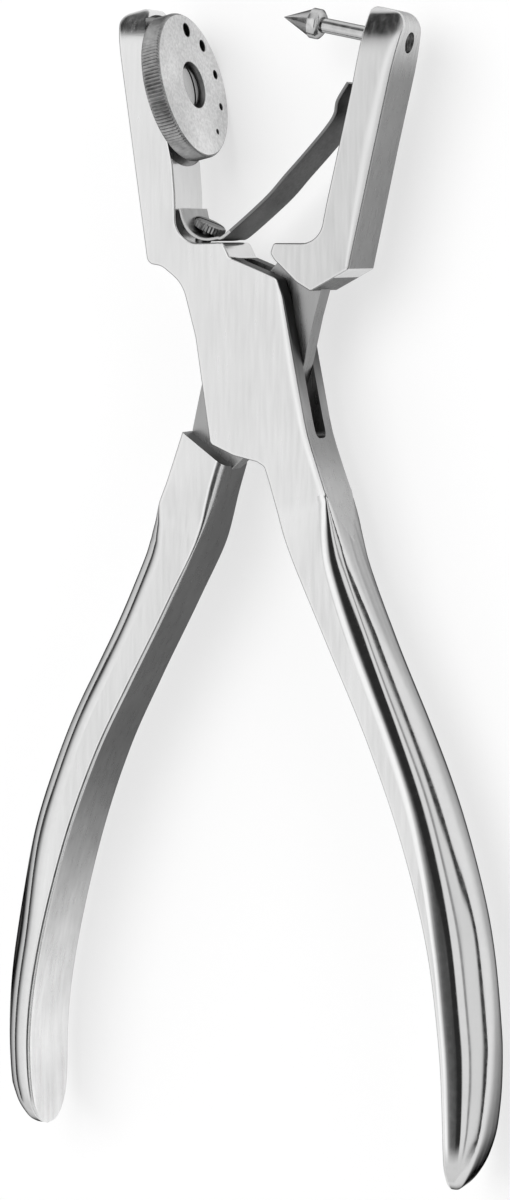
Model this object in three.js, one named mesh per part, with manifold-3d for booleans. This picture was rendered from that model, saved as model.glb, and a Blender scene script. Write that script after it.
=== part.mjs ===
// Rubber dam punch: two slender halves crossing at a box joint, with a turning die wheel on one jaw,
// a cone-pointed punch on the other, and a leaf spring that opens them. Shown open, lying face up.
// Units are millimetres. X runs from the wheel to the punch, Y towards the jaws, Z out of the front face.
// The origin is on the pivot's axis, at the back face of the box.

import * as THREE from 'three';
import { mergeVertices } from 'three/addons/utils/BufferGeometryUtils.js';
import Module from 'manifold-3d';

const wasm = await Module();
wasm.setup();

// Driving dimensions of the two halves
const BODY_THICK = 9.4; // box, jaw and arm, front to back
const TONGUE_THICK = 3.2; // the crossing web of the punch side
const HEAD_SPREAD = 20; // pivot to the jaw's outer side, beside the wheel
const HEAD_REACH = 50; // pivot to the top of the jaw
const HANDLE_SPREAD = 40; // pivot to the handles' widest line
const HANDLE_REACH = 120; // pivot to the ends of the handles
const HANDLE_THICK = 7.5; // across the handle, in the plane of the tool
const HANDLE_DEPTH = 13.4; // front to back, at its widest
const SLOT_CLEAR = 0.3; // each side of the tongue
const EDGE_BREAK = 0.45; // chamfer along the flat faces
const SEAT_GAP = 0.25; // between pieces that touch on the real tool
const OVERRUN = 3; // how far a cut runs past the metal

// Pivot pin
const PIVOT_DIAMETER = 5;

// Die wheel, its screw and washer
const WHEEL_DIAMETER = 21.3;
const WHEEL_THICK = 3;
const WHEEL_TILT = 13; // degrees that its face leans up from the X axis
const WHEEL_STANDOFF = 0.9; // wheel's back to the jaw's spot face
const WHEEL_TEETH = 84;
const TOOTH_DEPTH = 0.25;
const SPOT_CLEAR = 0.5; // spot face beyond the wheel's rim
const DIE_EDGE = 2.4; // wheel's rim to the ring of holes
const DIE_STEP = 35; // degrees from one hole to the next
const DIE_TURN = 9; // degrees that the largest hole is past the punch's line
const DIE_DIAMETERS = [2.0, 1.7, 1.3, 1.0, 0.75];
const BORE_DIAMETER = 4.2;
const COUNTERBORE_DIAMETER = 6.8;
const COUNTERBORE_DEPTH = 1.5;
const SCREW_HEAD_DIAMETER = 6.2;
const SCREW_HEAD_HEIGHT = 1.1;
const SCREW_DOME = 0.35;
const SCREW_THREAD_DIAMETER = 2.8;
const SCREW_THREAD_LENGTH = 2.9;
const SLOT_WIDTH = 0.6;
const SLOT_DEPTH = 0.6;
const WASHER_DIAMETER = 7;
const WASHER_THICK = 0.4;

// Index ball and its spring, in a blind hole of the jaw
const BALL_DIAMETER = 1.9;
const BALL_PROUD = 0.25; // above the wheel's back face
const TRACK_DEPTH = 0.45; // groove in the wheel's back that the ball runs in
const INDEX_HOLE_DEPTH = 3.4;
const COIL_WIRE = 0.3;
const COIL_PITCH = 0.75;
const COIL_CURLS = 3;

// Punch
const PUNCH_TILT = 12; // degrees that it leans up from the X axis
const CONE_LENGTH = 4.4;
const CONE_DIAMETER = 3.9;
const CONE_TIP_DIAMETER = 0.16;
const COLLAR_DIAMETER = 4.3;
const COLLAR_LENGTH = 1.8;
const COLLAR_CHAMFER = 0.45;
const SHANK_DIAMETER = 2.1;
const SHANK_IN_COLLAR = 1.1;
const LOCK_DIAMETER = 2.9;
const LOCK_LENGTH = 1.5;
const LOCK_SUNK = 0.6; // below the arm's outer side

// Return spring and its screw
const LEAF_THICK = 0.5;
const LEAF_WIDTH = 8;
const LEAF_SCREW_HEAD = 4.7;
const LEAF_SCREW_HEIGHT = 1.3;
const LEAF_SCREW_RAISE = 1.9; // its head's underside above the crook's floor
const LEAF_SCREW_THREAD = 2.2;
const LEAF_SCREW_LENGTH = 4.2;
const LEAF_SCREW_ANGLE = 64; // degrees that its axis leans up from the X axis

// Outlines: x as a share of HEAD_SPREAD, y of HEAD_REACH, and each corner's round of BODY_THICK
const WHEEL_SIDE_SHARES = [
  [-1.107, 0.99, 0.13], // jaw's top, outer corner
  [-0.852, 0.279, 0.09], // heel
  [-0.74, 0.272, 0.16],
  [-0.575, 0.222, 0.28],
  [-0.47, 0.068, 0.5], // waist of the box
  [-0.355, -0.238, 0.07], // box's lower corner
  [-0.17, -0.27, 0.2],
  [0.015, -0.286, 0], // fork
  [0.075, -0.3, 0.08],
  [0.12, -0.34, 0],
  [0.495, -0.33, 0],
  [0.41, -0.206, 0.4],
  [0.31, 0, 0.4],
  [0.22, 0.188, 0.1],
  [0.175, 0.238, 0.07], // box's upper corner
  [0.045, 0.26, 0.1],
  [-0.195, 0.297, 0.05], // foot of the step
  [-0.25, 0.34, 0.08], // top of the step
  [-0.625, 0.336, 0.42], // crook
  [-0.63, 0.48, 0.2],
  [-0.6475, 0.566, 0.1],
  [-0.88, 1.014, 0.07], // jaw's top, inner corner
];
const ARM_SHARES = [
  [0.835, 1, 0.07], // arm's top, inner corner
  [0.765, 0.81, 1.2],
  [0.55, 0.444, 0.3],
  [0.495, 0.337, 0.44], // inside of the elbow
  [0.145, 0.338, 0.07], // toe
  [0.12, 0.31, 0.07],
  [0.15, 0.291, 0.07],
  [0.32, 0.228, 0.2],
  [0.435, 0.202, 0.07], // lowest point of the shoulder
  [0.725, 0.264, 0.07],
  [1.135, 0.975, 0.22], // arm's top, outer corner
];
const TONGUE_SHARES = [
  [0.2, 0.32, 0],
  [-0.065, 0.21, 0.4],
  [-0.315, 0.09, 0.5],
  [-0.49, -0.066, 0.4],
  [-0.565, -0.2, 0.1],
  [-0.59, -0.27, 0],
  [-0.4, -0.38, 0],
  [-0.265, -0.318, 0],
  [-0.075, -0.25, 0.3],
  [0.22, -0.12, 0.5],
  [0.325, 0, 0.4],
  [0.4, 0.13, 0.2],
  [0.48, 0.24, 0],
];
const SLOT_SHARES = [
  [-0.145, 0.31, 0],
  [-0.37, 0.15, 0.15],
  [-0.75, 0.12, 0],
  [-0.75, -0.34, 0],
  [0.05, -0.34, 0],
  [0.07, -0.296, 0.1],
  [0.28, -0.224, 0.15],
  [0.75, -0.206, 0],
  [0.75, 0.4, 0],
  [-0.145, 0.4, 0],
];
const SHOULDER_SHARES = [
  [-1.265, 0.076],
  [0.41, -0.574],
  [1.5, -0.574],
  [1.5, 0.2],
  [-1.265, 0.2],
];
const LEAF_SHARES = [
  [-0.597, 0.438],
  [-0.575, 0.404],
  [-0.53, 0.374],
  [-0.463, 0.355],
  [-0.386, 0.349],
  [-0.307, 0.3524],
  [-0.235, 0.362],
  [0.071, 0.462],
  [0.235, 0.529],
  [0.397, 0.596],
  [0.55, 0.662],
  [0.622, 0.699],
  [0.648, 0.735],
  [0.714, 0.786],
];

// Places, in the same shares
const WHEEL_PLACE_SHARES = [-0.585, 0.792]; // centre of the wheel's front face
const PUNCH_TIP_SHARES = [0.125, 0.978];
const ARM_OUTER_SHARE = 1.09; // arm's outer side where the punch's line leaves it
const LEAF_SCREW_SHARES = [-0.505, 0.353]; // where its axis meets the crook's floor

// The jaws' tops thin and round off: half thickness of BODY_THICK, height of HEAD_REACH
const CROWN_SHARES = [
  [0.5, 0.84],
  [0.463, 0.88],
  [0.404, 0.91],
  [0.34, 0.948],
  [0.266, 0.978],
  [0.16, 1],
  [0, 1.014],
];

// Flat inner side of each handle: x as a share of HANDLE_SPREAD, y of HANDLE_REACH
const RIGHT_INNER_SHARES = [
  [0.01, -0.096],
  [0.12, -0.207],
  [0.28, -0.327],
  [0.448, -0.446],
  [0.585, -0.563],
  [0.685, -0.683],
  [0.735, -0.8],
  [0.75, -0.9],
  [0.744, -0.988],
];
const LEFT_INNER_SHARES = [
  [-0.11, -0.1125],
  [-0.201, -0.204],
  [-0.34, -0.3],
  [-0.491, -0.396],
  [-0.6275, -0.4875],
  [-0.753, -0.6],
  [-0.858, -0.733],
  [-0.905, -0.842],
  [-0.903, -0.965],
];
// Along a handle: how far, its thickness and depth as shares of the full ones, and how square it is
const HANDLE_PROFILE_SHARES = [
  [0, 1.04, 0.7, 9],
  [0.06, 1.07, 0.7, 9],
  [0.1, 1.07, 0.76, 7],
  [0.16, 1.02, 0.82, 4.5],
  [0.25, 0.96, 0.83, 3.4],
  [0.4, 0.96, 0.88, 2.7],
  [0.6, 0.97, 0.96, 2.3],
  [0.76, 0.93, 1, 2.1],
  [0.86, 0.83, 0.995, 2],
  [0.92, 0.69, 0.96, 2],
  [0.96, 0.5, 0.87, 2],
  [0.985, 0.34, 0.66, 2],
  [0.996, 0.18, 0.4, 2],
  [1, 0.06, 0.12, 2],
];

const HANDLE_RINGS = 20;
const RING_EASE_SHARE = 0.5; // how far the rings crowd towards the handle's end
const CHAMFER_ROOM_SHARE = 1.15; // a corner's radius over the chamfer that runs round it
const WELD_SHARE = 1e-5; // of BODY_THICK, points nearer than this are one
const ROUND_SEGMENTS = 28;
const CORNER_SEGMENTS = 4;
const DEG = Math.PI / 180;

const satin = { metalness: 0.95, roughness: 0.36 };
const finishes = {
  satin: new THREE.MeshStandardMaterial({ color: 0xd2d3d4, ...satin }),
  blasted: new THREE.MeshStandardMaterial({ color: 0xc4c5c6, metalness: 0.85, roughness: 0.55 }),
  bright: new THREE.MeshStandardMaterial({ color: 0xdadbdc, metalness: 1, roughness: 0.18 }),
  dark: new THREE.MeshStandardMaterial({ color: 0x55575a, metalness: 0.9, roughness: 0.42 }),
  spring: new THREE.MeshStandardMaterial({ color: 0x8b8d90, metalness: 0.95, roughness: 0.4 }),
};

const headPoint = ([x, y]) => new THREE.Vector2(x * HEAD_SPREAD, y * HEAD_REACH);
const handlePoint = ([x, y]) => new THREE.Vector2(x * HANDLE_SPREAD, y * HANDLE_REACH);

// How far back a corner's curve has to start for the chamfer to run round it
function leastRound(before, corner, after, hand) {
  const into = corner.clone().sub(before);
  const out = after.clone().sub(corner);
  const half = Math.abs(into.angleTo(out)) / 2;
  const bulges = into.cross(out) * hand > 0;
  return bulges ? (CHAMFER_ROOM_SHARE * EDGE_BREAK * Math.sin(half)) / Math.cos(half) ** 2 : 0;
}

// A closed outline whose corners are rounded by curves
function roundedShape(shares) {
  const corners = shares.map(headPoint);
  const hand = Math.sign(THREE.ShapeUtils.area(corners));
  const shape = new THREE.Shape();
  corners.forEach((corner, i) => {
    const before = corners[(i + corners.length - 1) % corners.length];
    const after = corners[(i + 1) % corners.length];
    const share = shares[i][2] ?? 0;
    const least = share > 0 ? leastRound(before, corner, after, hand) : 0;
    const wanted = Math.max(share * BODY_THICK, least);
    const round = Math.min(wanted, corner.distanceTo(before) / 2, corner.distanceTo(after) / 2);
    const entry = corner.clone().lerp(before, round / corner.distanceTo(before));
    const exit = corner.clone().lerp(after, round / corner.distanceTo(after));
    if (i === 0) shape.moveTo(entry.x, entry.y);
    else shape.lineTo(entry.x, entry.y);
    if (round > 0) shape.quadraticCurveTo(corner.x, corner.y, exit.x, exit.y);
  });
  shape.closePath();
  return shape;
}

// A flat plate centred on the mid-plane, with a chamfer along both faces
function plate(shape, thick, chamfer = 0) {
  const geometry = new THREE.ExtrudeGeometry(shape, {
    depth: thick - 2 * chamfer,
    curveSegments: CORNER_SEGMENTS,
    bevelEnabled: chamfer > 0,
    bevelThickness: chamfer,
    bevelSize: chamfer,
    bevelOffset: -chamfer,
    bevelSegments: 1,
  });
  return geometry.translate(0, 0, chamfer - thick / 2);
}

// A turned piece about its own X axis, from [distance, radius] pairs
function turned(profile, segments = ROUND_SEGMENTS) {
  const points = profile.map(([along, radius]) => new THREE.Vector2(radius, along));
  return new THREE.LatheGeometry(points, segments).rotateZ(-Math.PI / 2);
}

const rod = (from, to, radius, segments) =>
  turned([[from, 0], [from, radius], [to, radius], [to, 0]], segments);

// Moves a piece made about its own X axis to a point of the tool, leaning by an angle
const settle = (geometry, place, tilt) =>
  geometry.rotateZ(tilt * DEG).translate(place.x, place.y, 0);

// A body through rings of equal point counts, closed at both ends
function loft(rings) {
  const count = rings[0].length;
  const position = rings.flat().flatMap((p) => p.toArray());
  const index = [];
  for (let r = 0; r + 1 < rings.length; r += 1) {
    for (let k = 0; k < count; k += 1) {
      const a = r * count + k;
      const b = r * count + ((k + 1) % count);
      index.push(a, b, b + count, a, b + count, a + count);
    }
  }
  const last = (rings.length - 1) * count;
  for (let k = 1; k + 1 < count; k += 1) {
    index.push(0, k + 1, k);
    index.push(last, last + k, last + k + 1);
  }
  const geometry = new THREE.BufferGeometry();
  geometry.setAttribute('position', new THREE.Float32BufferAttribute(position, 3));
  geometry.setIndex(index);
  return geometry;
}

function toSolid(geometry) {
  const bare = new THREE.BufferGeometry();
  bare.setAttribute('position', geometry.getAttribute('position').clone());
  if (geometry.index) bare.setIndex(geometry.index.clone());
  const merged = mergeVertices(bare, BODY_THICK * WELD_SHARE);
  return new wasm.Manifold(new wasm.Mesh({
    numProp: 3,
    vertProperties: new Float32Array(merged.getAttribute('position').array),
    triVerts: new Uint32Array(merged.index.array),
  }));
}

function fromSolid(solid) {
  const mesh = solid.getMesh();
  const geometry = new THREE.BufferGeometry();
  geometry.setAttribute('position', new THREE.Float32BufferAttribute(mesh.vertProperties, 3));
  geometry.setIndex(Array.from(mesh.triVerts));
  return geometry;
}

const joinAll = (...geometries) => geometries.map(toSolid).reduce((a, b) => a.add(b));
const cutAll = (solid, ...geometries) =>
  geometries.map(toSolid).reduce((a, b) => a.subtract(b), solid);

// One D-shaped handle: flat towards the other handle, round outwards
function handle(innerShares, outward) {
  const inner = new THREE.SplineCurve(innerShares.map(handlePoint));
  const profileAt = (s) => {
    const next = HANDLE_PROFILE_SHARES.findIndex(([along]) => along >= s);
    const upper = HANDLE_PROFILE_SHARES[Math.max(next, 1)];
    const lower = HANDLE_PROFILE_SHARES[Math.max(next, 1) - 1];
    const t = (s - lower[0]) / (upper[0] - lower[0]);
    return lower.map((value, i) => value + (upper[i] - value) * t);
  };
  const rings = [];
  for (let r = 0; r <= HANDLE_RINGS; r += 1) {
    const even = r / HANDLE_RINGS;
    const s = THREE.MathUtils.lerp(even, Math.sin((even * Math.PI) / 2), RING_EASE_SHARE);
    const [, thickShare, depthShare, square] = profileAt(s);
    const thick = thickShare * HANDLE_THICK;
    const half = (depthShare * HANDLE_DEPTH) / 2;
    const at = inner.getPointAt(s);
    const along = inner.getTangentAt(s);
    const across = new THREE.Vector2(-along.y, along.x).multiplyScalar(outward);
    const ring = [];
    for (let k = 0; k <= ROUND_SEGMENTS / 2; k += 1) {
      const angle = ((k / ROUND_SEGMENTS) * 2 - 0.5) * Math.PI;
      const out = thick * Math.abs(Math.cos(angle)) ** (2 / square);
      const z = half * Math.sign(Math.sin(angle)) * Math.abs(Math.sin(angle)) ** (2 / square);
      ring.push(new THREE.Vector3(at.x + across.x * out, at.y + across.y * out, z));
    }
    rings.push(outward > 0 ? ring : ring.reverse());
  }
  return loft(rings);
}

// The jaws' tops thin and round off from front to back
function crown() {
  const flank = CROWN_SHARES.map(([z, y]) => new THREE.Vector2(z * BODY_THICK, y * HEAD_REACH));
  const below = flank[0].y - HANDLE_DEPTH;
  const shape = new THREE.Shape([
    new THREE.Vector2(-HANDLE_DEPTH, -HANDLE_REACH - OVERRUN),
    new THREE.Vector2(HANDLE_DEPTH, -HANDLE_REACH - OVERRUN),
    new THREE.Vector2(HANDLE_DEPTH, below),
    new THREE.Vector2(flank[0].x, below),
    ...flank,
    ...flank.slice(0, -1).reverse().map(({ x, y }) => new THREE.Vector2(-x, y)),
    new THREE.Vector2(-flank[0].x, below),
    new THREE.Vector2(-HANDLE_DEPTH, below),
  ]);
  const span = 2 * (HEAD_SPREAD + HANDLE_SPREAD);
  const geometry = new THREE.ExtrudeGeometry(shape, { depth: span, bevelEnabled: false });
  return geometry.translate(0, 0, -span / 2).rotateY(Math.PI / 2);
}

const wheelPlace = headPoint(WHEEL_PLACE_SHARES);
const wheelRadius = WHEEL_DIAMETER / 2;
const dieRing = wheelRadius - DIE_EDGE;
const spotFace = -WHEEL_THICK - WHEEL_STANDOFF; // along the wheel's axis from its front face
const boreFloor = -COUNTERBORE_DEPTH;
const screwUnderHead = boreFloor + SEAT_GAP;
const shoulderEnd = spotFace + SEAT_GAP;
const threadEnd = shoulderEnd - SCREW_THREAD_LENGTH;
const ballCentre = -WHEEL_THICK + BALL_PROUD - BALL_DIAMETER / 2;
const onWheel = (geometry) => settle(geometry, wheelPlace, WHEEL_TILT);

const punchTip = headPoint(PUNCH_TIP_SHARES);
const alongPunch = (x) => (x - punchTip.x) / Math.cos(PUNCH_TILT * DEG);
const armOuter = alongPunch(ARM_OUTER_SHARE * HEAD_SPREAD);
const shankEnd = armOuter - LOCK_SUNK - LOCK_LENGTH - SEAT_GAP;
const shankStart = CONE_LENGTH + COLLAR_LENGTH - SHANK_IN_COLLAR;
const onPunch = (geometry) => settle(geometry, punchTip, -PUNCH_TILT);

const leafScrewPlace = headPoint(LEAF_SCREW_SHARES);
const onLeafScrew = (geometry) => settle(geometry, leafScrewPlace, LEAF_SCREW_ANGLE);

function wheelSideHalf() {
  const slotThick = TONGUE_THICK + 2 * SLOT_CLEAR;
  const body = joinAll(
    plate(roundedShape(WHEEL_SIDE_SHARES), BODY_THICK, EDGE_BREAK),
    handle(RIGHT_INNER_SHARES, 1),
  ).intersect(toSolid(crown()));
  const pivotHole = rod(-BODY_THICK, BODY_THICK, PIVOT_DIAMETER / 2 + SEAT_GAP).rotateY(Math.PI / 2);
  const spot = rod(spotFace, OVERRUN, wheelRadius + SPOT_CLEAR, 2 * ROUND_SEGMENTS);
  const threadHole = rod(threadEnd - SEAT_GAP, OVERRUN, SCREW_THREAD_DIAMETER / 2 + SEAT_GAP);
  const indexHole = rod(spotFace - INDEX_HOLE_DEPTH, OVERRUN, BALL_DIAMETER / 2 + SEAT_GAP);
  indexHole.translate(0, -dieRing, 0);
  const leafHole = rod(-LEAF_SCREW_LENGTH - SEAT_GAP, OVERRUN, LEAF_SCREW_THREAD / 2 + SEAT_GAP);
  return fromSolid(cutAll(
    body,
    plate(roundedShape(SLOT_SHARES), slotThick),
    pivotHole,
    onWheel(spot),
    onWheel(threadHole),
    onWheel(indexHole),
    onLeafScrew(leafHole),
  ));
}

function punchSideHalf() {
  const shoulder = new THREE.Shape(SHOULDER_SHARES.map(headPoint));
  const shoulderCut = toSolid(plate(shoulder, 2 * HANDLE_DEPTH));
  const grip = toSolid(handle(LEFT_INNER_SHARES, -1)).subtract(shoulderCut);
  const body = toSolid(plate(roundedShape(ARM_SHARES), BODY_THICK, EDGE_BREAK))
    .add(toSolid(plate(roundedShape(TONGUE_SHARES), TONGUE_THICK)))
    .add(grip)
    .intersect(toSolid(crown()));
  const pivotHole = rod(-BODY_THICK, BODY_THICK, PIVOT_DIAMETER / 2 + SEAT_GAP).rotateY(Math.PI / 2);
  const shankHole = rod(shankStart, shankEnd + SEAT_GAP, SHANK_DIAMETER / 2 + SEAT_GAP);
  const lockHole = rod(shankEnd, armOuter + OVERRUN, LOCK_DIAMETER / 2 + SEAT_GAP);
  return fromSolid(cutAll(body, pivotHole, onPunch(shankHole), onPunch(lockHole)));
}

function pivotPin() {
  return rod(-BODY_THICK / 2, BODY_THICK / 2, PIVOT_DIAMETER / 2).rotateY(Math.PI / 2);
}

// A disc with a toothed rim, its die holes in one arc, and the ball's track in its back
function dieWheel() {
  const rim = new THREE.Shape();
  for (let k = 0; k < 2 * WHEEL_TEETH; k += 1) {
    const angle = (k * Math.PI) / WHEEL_TEETH;
    const radius = wheelRadius - (k % 2) * TOOTH_DEPTH;
    if (k === 0) rim.moveTo(radius, 0);
    else rim.lineTo(Math.cos(angle) * radius, Math.sin(angle) * radius);
  }
  const disc = new THREE.ExtrudeGeometry(rim, { depth: WHEEL_THICK, bevelEnabled: false });
  disc.rotateY(Math.PI / 2).translate(-WHEEL_THICK, 0, 0);
  const cuts = DIE_DIAMETERS.map((diameter, i) => {
    const hole = rod(-WHEEL_THICK - OVERRUN, OVERRUN, diameter / 2, ROUND_SEGMENTS / 2);
    return hole.translate(0, dieRing, 0).rotateX(-(DIE_TURN + i * DIE_STEP) * DEG);
  });
  const trackHalf = BALL_DIAMETER / 2;
  const track = turned([
    [-WHEEL_THICK - OVERRUN, dieRing - trackHalf],
    [-WHEEL_THICK - OVERRUN, dieRing + trackHalf],
    [-WHEEL_THICK + TRACK_DEPTH, dieRing + trackHalf],
    [-WHEEL_THICK + TRACK_DEPTH, dieRing - trackHalf],
    [-WHEEL_THICK - OVERRUN, dieRing - trackHalf],
  ], 2 * ROUND_SEGMENTS);
  const bore = rod(-WHEEL_THICK - OVERRUN, OVERRUN, BORE_DIAMETER / 2 + SEAT_GAP);
  const counterbore = rod(boreFloor, OVERRUN, COUNTERBORE_DIAMETER / 2);
  return onWheel(fromSolid(cutAll(toSolid(disc), ...cuts, track, bore, counterbore)));
}

const driverSlot = (top, depth, width, length) =>
  new THREE.BoxGeometry(depth + OVERRUN, length, width).translate(top + (OVERRUN - depth) / 2, 0, 0);

function wheelScrew() {
  const headTop = screwUnderHead + SCREW_HEAD_HEIGHT;
  const headRadius = SCREW_HEAD_DIAMETER / 2;
  const body = turned([
    [threadEnd, 0],
    [threadEnd, SCREW_THREAD_DIAMETER / 2],
    [shoulderEnd, SCREW_THREAD_DIAMETER / 2],
    [shoulderEnd, BORE_DIAMETER / 2],
    [screwUnderHead, BORE_DIAMETER / 2],
    [screwUnderHead, headRadius],
    [headTop - SCREW_DOME, headRadius],
    [headTop - SCREW_DOME / 4, headRadius / 2],
    [headTop, 0],
  ]);
  const slot = driverSlot(headTop, SLOT_DEPTH, SLOT_WIDTH, WHEEL_DIAMETER);
  return onWheel(fromSolid(cutAll(toSolid(body), slot)));
}

function wheelWasher() {
  const inner = BORE_DIAMETER / 2 + SEAT_GAP;
  const outer = WASHER_DIAMETER / 2;
  const low = spotFace + SEAT_GAP;
  const high = low + WASHER_THICK;
  return onWheel(turned([[low, inner], [low, outer], [high, outer], [high, inner], [low, inner]]));
}

function indexBall() {
  const ball = new THREE.SphereGeometry(BALL_DIAMETER / 2, ROUND_SEGMENTS / 2, ROUND_SEGMENTS / 4);
  return onWheel(ball.translate(ballCentre, -dieRing, 0));
}

// A coil as one unbroken tube, standing on the floor of its hole
function indexSpring() {
  const radius = (BALL_DIAMETER - COIL_WIRE) / 2;
  const steps = 8;
  const sides = 5;
  const start = spotFace - INDEX_HOLE_DEPTH + SEAT_GAP + COIL_WIRE / 2;
  const rings = [];
  for (let k = 0; k <= COIL_CURLS * steps; k += 1) {
    const turn = (k / steps) * 2 * Math.PI;
    const along = start + (k / steps) * COIL_PITCH;
    const ring = [];
    for (let j = 0; j < sides; j += 1) {
      const angle = (j / sides) * 2 * Math.PI;
      const out = radius - (COIL_WIRE / 2) * Math.cos(angle);
      const rise = (COIL_WIRE / 2) * Math.sin(angle);
      ring.push(new THREE.Vector3(along + rise, Math.cos(turn) * out, Math.sin(turn) * out));
    }
    rings.push(ring);
  }
  console.log('index spring, least gap between curls:', (COIL_PITCH - COIL_WIRE).toFixed(2), 'mm');
  return onWheel(loft(rings).translate(0, -dieRing, 0));
}

function punchPoint() {
  const collarStart = CONE_LENGTH;
  const collarEnd = CONE_LENGTH + COLLAR_LENGTH;
  const coneRadius = CONE_DIAMETER / 2;
  const collarRadius = COLLAR_DIAMETER / 2;
  const socketRadius = SHANK_DIAMETER / 2 + SEAT_GAP;
  return onPunch(turned([
    [0, 0],
    [0, CONE_TIP_DIAMETER / 2],
    [collarStart, coneRadius],
    [collarStart, collarRadius],
    [collarEnd - COLLAR_CHAMFER, collarRadius],
    [collarEnd, collarRadius - COLLAR_CHAMFER],
    [collarEnd, socketRadius],
    [shankStart - SEAT_GAP, socketRadius],
    [shankStart - SEAT_GAP, 0],
  ]));
}

const punchShank = () => onPunch(rod(shankStart, shankEnd, SHANK_DIAMETER / 2));

function shankLockScrew() {
  const end = armOuter - LOCK_SUNK;
  const body = rod(end - LOCK_LENGTH, end, LOCK_DIAMETER / 2);
  const slot = driverSlot(end, SLOT_DEPTH, SLOT_WIDTH, WHEEL_DIAMETER);
  return onPunch(fromSolid(cutAll(toSolid(body), slot)));
}

// The leaf follows the crook, then springs across to the arm
function returnSpring() {
  const path = new THREE.SplineCurve(LEAF_SHARES.map(headPoint));
  const steps = 36;
  const sides = [[], []];
  for (let k = 0; k <= steps; k += 1) {
    const at = path.getPointAt(k / steps);
    const along = path.getTangentAt(k / steps);
    const across = new THREE.Vector2(-along.y, along.x).multiplyScalar(LEAF_THICK / 2);
    sides[0].push(at.clone().sub(across));
    sides[1].unshift(at.clone().add(across));
  }
  const leaf = plate(new THREE.Shape(sides.flat()), LEAF_WIDTH);
  const hole = onLeafScrew(rod(-OVERRUN, OVERRUN, LEAF_SCREW_THREAD / 2 + SEAT_GAP));
  return fromSolid(cutAll(toSolid(leaf), hole));
}

// Its head bridges the curved leaf, so it seats where the leaf's curve meets the head's rim
function springScrew() {
  const headRadius = LEAF_SCREW_HEAD / 2;
  const under = LEAF_SCREW_RAISE;
  const top = under + LEAF_SCREW_HEIGHT;
  const threadRadius = LEAF_SCREW_THREAD / 2;
  const body = turned([
    [-LEAF_SCREW_LENGTH, 0],
    [-LEAF_SCREW_LENGTH, threadRadius],
    [under, threadRadius],
    [under, headRadius],
    [top - SCREW_DOME, headRadius],
    [top, headRadius / 2],
    [top, 0],
  ]);
  const slot = driverSlot(top, SLOT_DEPTH, SLOT_WIDTH, WHEEL_DIAMETER);
  return onLeafScrew(fromSolid(cutAll(toSolid(body), slot)));
}

const pieces = [
  ['wheel_side_half', wheelSideHalf(), finishes.satin],
  ['punch_side_half', punchSideHalf(), finishes.satin],
  ['pivot_pin', pivotPin(), finishes.satin],
  ['die_wheel', dieWheel(), finishes.blasted],
  ['wheel_screw', wheelScrew(), finishes.bright],
  ['wheel_washer', wheelWasher(), finishes.spring],
  ['index_ball', indexBall(), finishes.bright],
  ['index_spring', indexSpring(), finishes.spring],
  ['punch_point', punchPoint(), finishes.bright],
  ['punch_shank', punchShank(), finishes.bright],
  ['shank_lock_screw', shankLockScrew(), finishes.dark],
  ['return_spring', returnSpring(), finishes.spring],
  ['spring_screw', springScrew(), finishes.dark],
];

const punch = new THREE.Group();
for (const [name, geometry, material] of pieces) {
  const mesh = new THREE.Mesh(geometry, material);
  mesh.name = name;
  punch.add(mesh);
}
punch.position.z = BODY_THICK / 2;

export default punch;
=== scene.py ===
"""Rubber dam punch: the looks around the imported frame. Lengths in the shape code are millimetres."""
import math

import bmesh
import bpy
import numpy as np
from mathutils import Matrix, Vector


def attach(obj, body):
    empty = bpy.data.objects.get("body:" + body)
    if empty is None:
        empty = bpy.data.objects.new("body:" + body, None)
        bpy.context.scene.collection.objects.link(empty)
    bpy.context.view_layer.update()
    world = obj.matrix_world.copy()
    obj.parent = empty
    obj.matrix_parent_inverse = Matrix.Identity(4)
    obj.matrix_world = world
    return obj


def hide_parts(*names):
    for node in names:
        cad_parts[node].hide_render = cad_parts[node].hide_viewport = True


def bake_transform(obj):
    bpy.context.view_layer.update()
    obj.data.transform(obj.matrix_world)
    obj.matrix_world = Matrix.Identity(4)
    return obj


MM = 0.001
THICK = 9.4  # jaw, box and arm, front to back
HALF = THICK / 2
MID = HALF  # mid-plane of the tool above the back face; the shape code's z starts there

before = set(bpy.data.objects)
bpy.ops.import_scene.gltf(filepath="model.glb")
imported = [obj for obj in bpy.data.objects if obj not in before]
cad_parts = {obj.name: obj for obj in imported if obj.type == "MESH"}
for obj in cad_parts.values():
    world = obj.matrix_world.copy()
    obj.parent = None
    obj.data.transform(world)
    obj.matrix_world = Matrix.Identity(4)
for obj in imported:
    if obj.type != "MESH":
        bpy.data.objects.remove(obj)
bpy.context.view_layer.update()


# Plane curves
ARC_STEP = 9.0  # degrees, at most, between two points of an arc
ARC_ROOM = 0.495  # how much of the shorter neighbouring side an arc may take


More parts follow.
